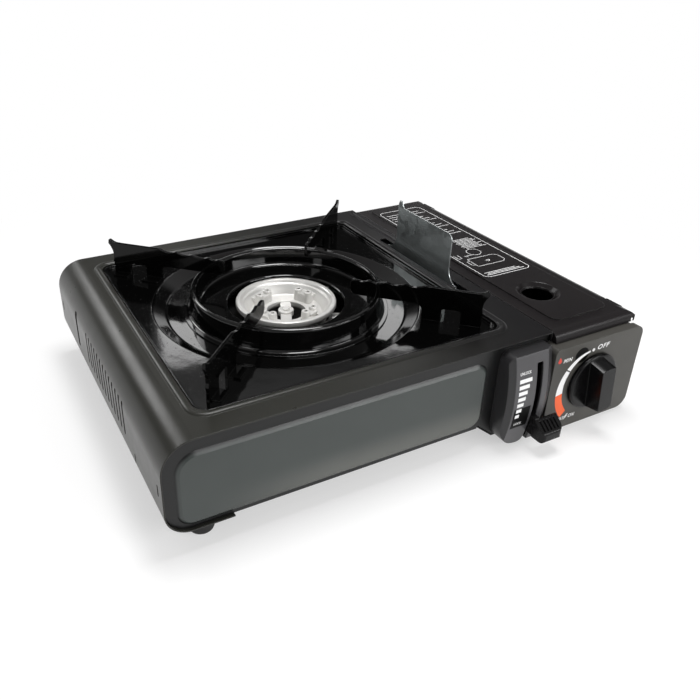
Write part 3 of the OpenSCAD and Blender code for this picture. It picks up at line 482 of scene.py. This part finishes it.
# %% Plastics, rubber and ceramic
def moulding(name, colour, roughness, grain_mm, edge_round=0.5, edge_tone=2.0, shine=0.5,
             front=None):
    """front is a paler tone for the faces that look straight ahead, where it differs: painted
    light, against the sides' painted shade.
    """
    plastic = Finish(name)
    grain = plastic.noise(2600, 2)
    handling = plastic.noise(70, 4, 0.6)
    round_normal = rounded(plastic, edge_round)
    edge = edge_mask(plastic, round_normal)
    paler = tuple(min(1, c * edge_tone) for c in colour[:3]) + (1,)
    # Faces that look straight ahead get painted light; the sides keep the darker tone as painted
    # shade.
    if front:
        outward = plastic.parts(plastic.node("ShaderNodeNewGeometry", {}, {}, "True Normal"))[1]
        colour = plastic.blend(plastic.smooth(0 - outward, 0.80, 0.95), colour, front)
    # Paler edges: partly wear, partly a painted highlight along the rounds.
    plastic.set(Base_Color=plastic.blend(edge * 0.6, colour, paler),
                Roughness=roughness + 0.12 * (handling - 0.5),
                Specular_IOR_Level=shine,
                Normal=bumped(plastic, grain, grain_mm, round_normal))
    return plastic


knob_plastic = moulding("knob_plastic", grey(0.0015, (1, 1, 1.15)), 0.24, 0.004,
                        edge_round=0.6, shine=0.22)
black_plastic = moulding("black_plastic", grey(0.02), 0.5, 0.02)
# The housing's strongly paler edges are mostly a painted highlight, and its paler front is painted
# light.
escutcheon_plastic = moulding("escutcheon_plastic", grey(0.022, (1.0, 0.98, 1.04)), 0.34, 0.010,
                              edge_round=1.2, edge_tone=4.0, shine=0.40,
                              front=grey(0.062, (1.0, 0.98, 1.04)))
lever_plastic = moulding("lever_plastic", grey(0.0035, (1.05, 0.97, 1.05)), 0.28, 0.012,
                         edge_round=0.6, shine=0.2)
foot_rubber = moulding("foot_rubber", grey(0.018), 0.75, 0.03)
lead_sleeve = moulding("lead_sleeve", grey(0.02), 0.6, 0.01)
ceramic = moulding("ceramic", grey(0.78, (1, 0.98, 0.94)), 0.18, 0.004, edge_round=0.4,
                   edge_tone=1.05)
print("mouldings:", [made.name for made in (
    knob_plastic, black_plastic, escutcheon_plastic, lever_plastic, foot_rubber, lead_sleeve,
    ceramic)])

# %% A finish for each slot
finishes = {made.name: made for made in (
    body_paint, front_paint, lid_paint, control_paint, enamel, galvanised, shield_steel,
    burner_alloy, tube_steel, die_cast, nozzle_brass, pin_steel, ceramic, lead_sleeve,
    black_plastic, escutcheon_plastic, knob_plastic, lever_plastic, foot_rubber)}
slots = {part["material_slot"] for part in frame["record"]["subparts"]}
print(len(finishes), "finishes for", len(slots), "slots, without a finish:",
      sorted(slots - set(finishes)))

# %% [markdown]
# ## Finishes on the parts
# The packed record says which material slot each part has, so the parts are dressed by slot. Two
# kinds of part look different from their slot's finish and are dressed again: the strip under the
# burner and the four arms. Shading could be all smooth or all flat. Smoothing by angle is smooth
# across the small facets of a curve and stays sharp at real corners.

# %% Helpers that dress and smooth a part
crease = math.radians(28)


def dress(thing, finish):
    thing.data.materials.clear()
    thing.data.materials.append(finish.material)


def add_to_scene(name, data, finish):
    made = bpy.data.objects.new(name, data)
    scene.collection.objects.link(made)
    dress(made, finish)
    return made


def object_from(name, shapes, finish):
    """Turns a bmesh into an object: faces with many corners are cut into triangles first."""
    bmesh.ops.triangulate(shapes, faces=[f for f in shapes.faces if len(f.verts) > 4])
    bmesh.ops.recalc_face_normals(shapes, faces=shapes.faces)
    data = bpy.data.meshes.new(name)
    shapes.to_mesh(data)
    shapes.free()
    return add_to_scene(name, data, finish)


def shade_by_angle(thing):
    bpy.ops.object.select_all(action="DESELECT")
    thing.select_set(True)
    bpy.context.view_layer.objects.active = thing
    bpy.ops.object.shade_smooth_by_angle(angle=crease)


print("corners of more than", round(math.degrees(crease)), "degrees stay sharp")

# %% Dress the parts
for part in frame["record"]["subparts"]:
    dress(nodes[part["node"]], finishes[part["material_slot"]])
    shade_by_angle(nodes[part["node"]])
dress(nodes["burner_stand"], scorched_steel)
for corner in ("front_left", "front_right", "rear_left", "rear_right"):
    dress(nodes["pan_arm_" + corner], arm_enamel)

# %% [markdown]
# ## The burner's head
# The head is a shallow cast dish with an open middle. Four pairs of drilled bosses stand in it, and
# a flat bridge crosses the middle and carries a hub with a nut. The construction model has a
# plainer one, so this casting stands for it in the same place. It could be cut with Booleans, but
# forms that meet at a face leave torn edges there. Here every form is lofted and sunk a little into
# the dish: a row of rings with the same number of points, joined one to the next.

# %% Rings and lofts
head_low, head_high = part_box("burner_head")
head_axis = (head_low + head_high) / 2
head_r, head_top = (head_high.x - head_low.x) / 2 / MM, head_high.z / MM
head_shapes = bmesh.new()


def loft(rings, closed=False):
    """Rings of points in mm, measured from the burner's axis."""
    made = [[head_shapes.verts.new((head_axis.x + x * MM, head_axis.y + y * MM, z * MM))
             for x, y, z in points] for points in rings]
    count = len(rings[0])
    pairs = zip(made, made[1:] + made[:1]) if closed else zip(made, made[1:])
    for lower, upper in pairs:
        for i in range(count):
            j = (i + 1) % count
            head_shapes.faces.new((lower[i], lower[j], upper[j], upper[i]))
    if not closed:
        head_shapes.faces.new(made[0][::-1])
        head_shapes.faces.new(made[-1])


def ring(radius, z, count, centre=0.0, stretch=0.0, turn=0.0, side=0.0):
    """A circle, or a slot whose two half circles stand apart by twice the stretch. Its middle lies
    at centre along the direction turn, and side to the left of it."""
    c, s = math.cos(math.radians(turn)), math.sin(math.radians(turn))
    points = []
    for i in range(count):
        a = 2 * math.pi * (i + 0.5) / count
        u = centre + radius * math.cos(a) + math.copysign(stretch, math.cos(a))
        v = side + radius * math.sin(a)
        points.append((u * c - v * s, u * s + v * c, z))
    return points


print("head", round(head_r, 1), "mm in radius, its top at", round(head_top, 1), "mm")

# %% The dish
floor_z, open_r = head_top - 9.5, 14.4
dish = [(head_r, head_top - 3.4), (head_r, head_top - 1.2), (head_r - 0.35, head_top - 0.35),
        (head_r - 1.2, head_top), (head_r - 3.0, head_top), (head_r - 3.7, head_top - 0.5),
        (head_r - 4.6, head_top - 2.2), (head_r - 6.0, head_top - 2.8), (25.5, floor_z + 0.6),
        (24.0, floor_z), (open_r, floor_z), (open_r, floor_z - 3), (30, floor_z - 3),
        (30, floor_z - 1.6), (head_r - 2.5, head_top - 3.4)]
loft([ring(r, z, 96) for r, z in dish], closed=True)
print("dish floor at", round(floor_z, 1), "mm, open to a radius of", open_r, "mm")

# %% Four pairs of bosses
sunk, post_top = floor_z - 1, floor_z + 8.4
for pair_turn in (26, 116, 206, 296):
    for side in (-4.3, 4.3):
        post = dict(count=28, centre=20.8, turn=pair_turn, side=side)
        loft([ring(3.2, sunk, stretch=0.6, **post), ring(2.7, post_top - 0.4, stretch=0.4, **post),
              ring(2.3, post_top, stretch=0.4, **post), ring(1.25, post_top, **post),
              ring(1.25, post_top - 4, **post)])
        shoulder = dict(count=28, centre=25.0, stretch=2.6, turn=pair_turn, side=side)
        loft([ring(2.4, sunk, **shoulder), ring(2.0, floor_z + 4.6, **shoulder)])
    web = dict(count=4, centre=21.4, turn=pair_turn)
    loft([ring(5.6, sunk, **web), ring(5.2, floor_z + 6.2, **web)])
print("bosses rise", round(post_top - floor_z, 1), "mm above the dish floor")

# %% Bridge, hub and nut, and the finished casting
bridge = dict(radius=3.9, count=28, stretch=11.6, turn=65)
loft([ring(z=floor_z - 2.4, **bridge), ring(z=floor_z - 0.4, **bridge)])
hub = [(5.6, -2.8), (5.6, 0.8), (5.2, 1.2), (4.4, 1.2), (4.0, 0.7)]
nut = [(2.7, 0.5), (2.7, 2.0), (2.3, 2.3)]
for outline, count in ((hub, 40), (nut, 6)):
    loft([ring(r, floor_z + z, count) for r, z in outline])
cast_head = object_from("cast_burner_head", head_shapes, burner_alloy)
shade_by_angle(cast_head)
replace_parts(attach(cast_head, "chassis"), "burner_head")
print("the casting has", len(cast_head.data.polygons), "faces")

# %% [markdown]
# ## Printed marks
# The marks are silk-screened ink, a few hundredths of a millimetre thick. They could be a picture
# on the paint, but then their edges would blur up close. Here each is a thin flat mesh that lies on
# its face. On the control plate a mark is drawn in x and z and pushed just in front of the plate,
# and on the lever housing it is wrapped round the housing's arc.

# %% Inks
def ink(name, colour, roughness=0.45, shine=0.5):
    made = Finish(name)
    fade = made.noise(300, 3)
    made.set(Base_Color=made.blend(fade, darker(colour, 0.9), colour),
             Roughness=roughness + 0.1 * (fade - 0.5),
             Specular_IOR_Level=shine)
    return made


white_ink = ink("white_ink", grey(0.86))
orange_ink = ink("orange_ink", (0.90, 0.12, 0.02, 1))
red_ink = ink("red_ink", (0.62, 0.05, 0.03, 1))
black_ink = ink("black_ink", grey(0.002), 0.4, 0.1)
print("inks:", white_ink.name, orange_ink.name, red_ink.name, black_ink.name)

# %% Thin pieces from outlines
ink_mm = 0.05


def flat_piece(name, outlines, place, finish, body, thick=ink_mm):
    """Closed outlines (lists of points in mm) become one thin piece. place turns a point and a
    height above the face into a position on the stove."""
    mesh = bmesh.new()
    for outline in outlines:
        lower = [mesh.verts.new(place(p, 0.0) * MM) for p in outline]
        upper = [mesh.verts.new(place(p, thick) * MM) for p in outline]
        mesh.faces.new(lower[::-1])
        mesh.faces.new(upper)
        count = len(outline)
        for i in range(count):
            j = (i + 1) % count
            mesh.faces.new((lower[i], lower[j], upper[j], upper[i]))
    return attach(object_from(name, mesh, finish), body)


def band(centre, angles, inner, outer, steps=24):
    """Outline of a tapered ring piece: the radii go from their first to their second value."""
    turns = [i / steps for i in range(steps + 1)]

    def at(t, radii):
        a = math.radians(angles[0] + (angles[1] - angles[0]) * t)
        r = radii[0] + (radii[1] - radii[0]) * t
        return (centre[0] + r * math.cos(a), centre[1] + r * math.sin(a))

    return [at(t, outer) for t in turns] + [at(t, inner) for t in turns[::-1]]


print("ink lies", ink_mm, "mm thick, and a ring piece has",
      len(band((0, 0), (0, 90), (1, 1), (2, 2))), "points")

# %% [markdown]
# ## Words
# The few words are plain capitals, a little slanted, and they name what the knob and the lever do.
# They could be drawn stroke by stroke. A text object is quicker: it is turned into a mesh, scaled
# to its measured height and width, and moved point by point onto the face.

# %% Words as thin pieces
def words(name, text, corner, height, width, place, finish, slant):
    """Text set on a face: corner is its lower left in mm, and it is scaled to height and width."""
    curve = bpy.data.curves.new(name, "FONT")
    curve.body = text
    curve.resolution_u = 3
    curve.offset = 0.016
    curve.space_character = 1.12
    curve.extrude = 0.01
    shown = bpy.data.objects.new(name, curve)
    scene.collection.objects.link(shown)
    bpy.context.view_layer.update()
    drawn = shown.evaluated_get(bpy.context.evaluated_depsgraph_get())
    data = bpy.data.meshes.new_from_object(drawn)
    bpy.data.objects.remove(shown)
    x_low, x_high = (end(v.co.x for v in data.vertices) for end in (min, max))
    y_low, y_high = (end(v.co.y for v in data.vertices) for end in (min, max))
    for v in data.vertices:
        w = (v.co.y - y_low) * height / (y_high - y_low)
        u = (v.co.x - x_low) * width / (x_high - x_low) + w * slant
        v.co = place((corner[0] + u, corner[1] + w), ink_mm if v.co.z > 0 else 0.0) * MM
    data.name = name
    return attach(add_to_scene(name, data, finish), "chassis")


print("letters stand", ink_mm, "mm above their face")

# %% [markdown]
# ## The scale round the knob
# A dot stands for off. From it a white line grows wider anticlockwise, and its last stretch is
# orange, where the gas is fully open and the spark follows. A ring piece whose radii grow from one
# end to the other draws each stretch, so that the scale can follow the knob's axis exactly.

# %% Control plate marks
plate_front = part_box("control_plate")[0].y / MM
knob_axis = (128.8, 37.3)


def on_plate(point, height):
    return Vector((point[0], plate_front - height, point[1]))


def disc(centre, radius):
    """A ring piece round a tiny hole. A narrow wedge stays open, so that its ends don't touch."""
    return band(centre, (0, 345), (radius, radius), (0.05, 0.05))


# A black patch under the white scale, up and to the left of the knob.
flat_piece("stop_patch", [disc((115.0, 60.4), 5.9)], on_plate, black_ink, "chassis", 0.02)
flat_piece("off_dot", [disc((125.3, 61.9), 1.25)], on_plate, white_ink, "chassis")
flat_piece("low_flame_arc", [band(knob_axis, (104.5, 149.2), (24.3, 25.1), (25.6, 28.9))],
           on_plate, white_ink, "chassis")
flat_piece("mid_flame_arc", [band(knob_axis, (151.3, 189.0), (25.1, 25.5), (28.9, 31.3))],
           on_plate, white_ink, "chassis")
flat_piece("full_flame_arc", [band(knob_axis, (189.3, 227), (25.5, 27.2), (31.3, 33.4))],
           on_plate, orange_ink, "chassis")
words("word_off", "OFF", (128.6, 61.0), 3.7, 10.6, on_plate, white_ink, 0.2)
words("word_min", "MIN", (98.8, 58.6), 2.9, 7.2, on_plate, white_ink, 0.2)
words("word_max", "MAX", (104.4, 9.9), 2.8, 5.9, on_plate, white_ink, 0.2)
words("word_on", "ON", (114.1, 9.9), 3.0, 5.6, on_plate, white_ink, 0.2)
bolt = [(112.6, 14.0), (110.3, 11.4), (111.6, 11.4), (109.9, 8.9), (113.3, 11.9), (112.0, 11.9),
        (113.4, 14.0)]
flat_piece("spark_sign", [bolt], on_plate, white_ink, "chassis")
flame = [(94.8, 59.1), (93.9, 60.4), (94.3, 61.8), (95.4, 63.8), (96.6, 61.8), (97.1, 60.4),
         (96.3, 59.1)]
flat_piece("flame_sign", [flame], on_plate, red_ink, "chassis")
print("plate face at y =", round(plate_front, 2))

# %% [markdown]
# ## The lever's scale
# Beside the lever's slot seven bars shrink downwards from UNLOCK to LOCK, and the lowest ones lie
# on a black block. The housing's front bulges as part of a wide cylinder, and flat marks would sink
# into it. Here each point is placed by angle and radius, and tall marks have steps that follow the
# bulge.

# %% Lever housing marks
housing_r = 125.0
housing_axis = (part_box("lever_escutcheon")[0].y / MM + housing_r, 39.0)


def on_housing(point, height):
    """x in mm, and a height above the table that is turned into an angle on the arc."""
    a = math.asin((point[1] - housing_axis[1]) / housing_r)
    r = housing_r + height
    return Vector((point[0], housing_axis[0] - r * math.cos(a),
                   housing_axis[1] + r * math.sin(a)))


def block(x0, x1, z0, z1, steps=3):
    rise = [z0 + (z1 - z0) * i / steps for i in range(steps + 1)]
    return [(x0, z) for z in rise[::-1]] + [(x1, z) for z in rise]


bar_left, bar_foot, bar_height, bar_pitch = 60.5, 54.8, 2.7, 4.45
bars = []
for i, wide in enumerate((10.2, 8.4, 7.2, 6.2, 5.3, 4.4, 3.4)):
    foot = bar_foot - bar_pitch * i
    bars.append(block(bar_left, bar_left + wide, foot, foot + bar_height))
lock_field = block(59.0, 72.6, 19.4, 35.6, 8)
flat_piece("lock_bars", bars, on_housing, white_ink, "chassis", 0.09)
flat_piece("lock_block", [lock_field], on_housing, black_ink, "chassis", 0.04)
words("word_unlock", "UNLOCK", (60.6, 60.4), 2.1, 9.0, on_housing, white_ink, 0.1)
words("word_lock", "LOCK", (61.4, 21.9), 1.9, 6.2, on_housing, white_ink, 0.1)
print("housing front at y =", round(housing_axis[0] - housing_r, 2), "bars", len(bars))

# %% [markdown]
# ## The border on the lid
# A thin white line with round corners frames the middle of the lid. A curve with a bevel would
# make a round wire. Ink is flat, so the line is one closed ribbon: an outer and an inner rounded
# rectangle, joined all the way round.

# %% Lid border
lid_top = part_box("bay_lid")[1].z / MM


def on_lid(point, height):
    return Vector((point[0], point[1], lid_top + height))


def round_corners(x0, y0, x1, y1, r, steps=6):
    points = []
    for cx, cy, start in ((x1 - r, y1 - r, 0), (x0 + r, y1 - r, 90), (x0 + r, y0 + r, 180),
                          (x1 - r, y0 + r, 270)):
        for i in range(steps + 1):
            a = math.radians(start + 90 * i / steps)
            points.append((cx + r * math.cos(a), cy + r * math.sin(a)))
    return points


line_w, corner_r = 0.55, 5
x0, y0, x1, y1 = 109.0, -31.0, 153.2, 118.5
outer = round_corners(x0, y0, x1, y1, corner_r)
inner = round_corners(x0 + line_w, y0 + line_w, x1 - line_w, y1 - line_w, corner_r - line_w)
quads = []
for i in range(len(outer)):
    j = (i + 1) % len(outer)
    quads.append([outer[i], outer[j], inner[j], inner[i]])
flat_piece("lid_border", quads, on_lid, white_ink, "lid")
print("lid field at z =", round(lid_top, 2), "border quads", len(quads))

# %% [markdown]
# ## Rows and a cartridge sign on the lid
# The lid's field carries rows of plain dashes and an outline of a cartridge that slides into its
# ring, so that a user sees which way round it goes in. A dash could be a box, but the sign also has
# slanted lines. One helper makes a flat quad from each piece of a line and serves them all.

# %% Lines
def stroke(points, width):
    """A line through points becomes one quad for each of its pieces."""
    quads = []
    for (x0, y0), (x1, y1) in zip(points, points[1:]):
        length = math.hypot(x1 - x0, y1 - y0)
        dx, dy = (x1 - x0) / length * width / 2, (y1 - y0) / length * width / 2
        quads.append([(x0 - dx + dy, y0 - dy - dx), (x1 + dx + dy, y1 + dy - dx),
                      (x1 + dx - dy, y1 + dy + dx), (x0 - dx - dy, y0 - dy + dx)])
    return quads


print("a line through three points gives", len(stroke([(0, 0), (1, 0), (1, 1)], 0.5)), "quads")

# %% Rows of dashes
def ruled_row(start, end, y, step):
    """Dashes of uneven length, whose pattern begins at another step in each row."""
    gap, least = 0.8, 1.2
    quads, x = [], start
    while x < end - least:
        long = min(1.4 + 1.1 * (step % 4), end - x)
        quads += stroke([(x, y), (x + long, y)], 0.7)
        x += long + gap
        step += 3
    return quads


rows = []
for i, y in enumerate((-27.6, -25.8, -24.0)):
    rows += ruled_row(113 + 2 * (i % 2), 148 - 3 * i, y, i)
for i in range(9):
    rows += ruled_row(131 - (i % 3), 150.5 - 2.3 * (i % 3), 20.0 + 2.2 * i, i)
for i in range(14):
    rows += ruled_row(112.5, 150.0 - 4.0 * (i % 4), 52.0 + 4.4 * i, i)
flat_piece("lid_rows", rows, on_lid, white_ink, "lid", 0.03)
print("lid rows:", len(rows), "dashes")

# %% Cartridge sign
can = [(117, -12), (142, -12), (145, -9), (145, -1), (142, 2), (117, 2), (117, -12)]
neck = [(117, -8.5), (114, -8.5), (114, -1.5), (117, -1.5)]
arrow = [(126, 8), (119, 8), (121.5, 10), (119, 8), (121.5, 6)]
notch = [(129.5, -5), (131.5, -7.4), (133.5, -5), (129.5, -5)]
socket = [(111.5, 12), (111.5, 5.5), (115, 5.5), (115, 12)]
twelfth, circle_r = 0.5236, 6
circle = [(131.5 + circle_r * math.cos(i * twelfth), 12 + circle_r * math.sin(i * twelfth))
          for i in range(13)]
lines = (can, neck, arrow, notch, socket, circle)
sign = [quad for line in lines for quad in stroke(line, 0.5)]
flat_piece("lid_sign", sign, on_lid, white_ink, "lid", 0.03)
print("the sign has", len(sign), "strokes")

# %% [markdown]
# ## The floor
# The stove stands on a white floor that runs on into a white background. A lit plane alone would
# look grey against it. Here the plane mixes its lit paint with a plain white glow, half near the
# stove, so that its shadow stays, and all of it further out. Only rays from the camera, from gloss
# and through glass see the glow, so that it adds no light of its own.

# %% Floor
reach = 6.0
corners = [(-reach, -reach, 0), (reach, -reach, 0), (reach, reach, 0), (-reach, reach, 0)]
floor_mesh = bpy.data.meshes.new("floor")
floor_mesh.from_pydata(corners, [], [(0, 1, 2, 3)])
floor_finish = Finish("floor_white")
floor_finish.set(Base_Color=grey(0.93), Roughness=0.9, Specular_IOR_Level=0.0)
glow = floor_finish.node("ShaderNodeEmission", {}, {"Strength": 1.0})
to_camera, to_gloss, through = (floor_finish.node("ShaderNodeLightPath", {}, {}, ray) for ray in (
    "Is Camera Ray", "Is Glossy Ray", "Is Transmission Ray"))
from_middle = floor_finish.node("ShaderNodeVectorMath", {"operation": "LENGTH"},
                                {0: floor_finish.place}, "Value")
far_out = floor_finish.smooth(from_middle, 0.22, 0.50)
share = (to_camera + to_gloss + through) * (0.5 + 0.5 * far_out)
lit_or_glow = floor_finish.node("ShaderNodeMixShader", {},
                                {0: share, 1: floor_finish.shader, 2: glow})
floor_finish.plug(floor_finish.output.inputs["Surface"], lit_or_glow)
floor = add_to_scene("floor", floor_mesh, floor_finish)
print("floor reaches", reach, "m each way")

# %% [markdown]
# ## The world
# The camera sees plain white, but black enamel and gloss paint show the whole room. An even white
# room would turn them grey. So reflections see another one: white low down, a dark band above it,
# which keeps the enamel black, and a mid grey ceiling. A ramp over the height of the ray's
# direction makes it, and the ray's kind chooses between the two.

# %% World
world = bpy.data.worlds.new("studio")
scene.world = world
world.use_nodes = True
sky = Board(world.node_tree, "Generated")
upwards = sky.parts(sky.place)[2]
levels = [(0.0, 1.0), (0.13, 1.0), (0.21, 0.12), (0.30, 0.02), (0.50, 0.03), (0.58, 0.40)]
stops = [(height, grey(level)) for height, level in levels]
stops.append((1.0, grey(0.30, (1.0, 0.95, 0.95))))
room = sky.node("ShaderNodeValToRGB", {"stops": stops}, {"Fac": upwards})
studio = sky.node("ShaderNodeBackground", {}, {"Color": room})
backdrop = sky.node("ShaderNodeBackground", {}, {"Color": grey(1.0)})
camera_ray = sky.node("ShaderNodeLightPath", {}, {}, "Is Camera Ray")
either = sky.node("ShaderNodeMixShader", {}, {0: camera_ray, 1: studio, 2: backdrop})
sky.node("ShaderNodeOutputWorld", {}, {"Surface": either})
ramp = room.socket.node.color_ramp.elements
print("world levels:", [(round(e.position, 2), round(e.color[0], 2)) for e in ramp])

# %% [markdown]
# ## Lamps
# Large soft lamps give the light its direction and draw bright lines along the edges. A sun lamp
# would throw hard shadows, which a studio avoids. Two small weak lamps at the back stand for a
# window, whose panes show in the tray.

# %% Lamps
def soft_lamp(name, place, size, watts):
    """Looks at the middle of the stove."""
    data = bpy.data.lights.new(name, "AREA")
    data.shape = "RECTANGLE"
    data.size, data.size_y = size
    data.energy = watts
    lamp = bpy.data.objects.new(name, data)
    scene.collection.objects.link(lamp)
    lamp.location = place
    lamp.rotation_euler = (aim - Vector(place)).to_track_quat("-Z", "Y").to_euler()


aim = Vector((0, 0, 0.06))
soft_lamp("key_front_right", (0.52, -1.10, 0.60), (1.1, 0.22), 9)
soft_lamp("back_left", (-0.45, 1.10, 0.80), (0.50, 0.35), 4)
soft_lamp("overhead", (0.10, 0.05, 1.35), (0.60, 0.40), 13)
soft_lamp("left_strip", (-1.30, -0.45, 0.60), (0.25, 0.8), 2)
soft_lamp("window_left", (0.215, 1.075, 0.715), (0.11, 0.13), 0.16)
soft_lamp("window_right", (0.69, 0.89, 0.69), (0.11, 0.16), 0.18)
scene.view_settings.view_transform = "Standard"

# %% [markdown]
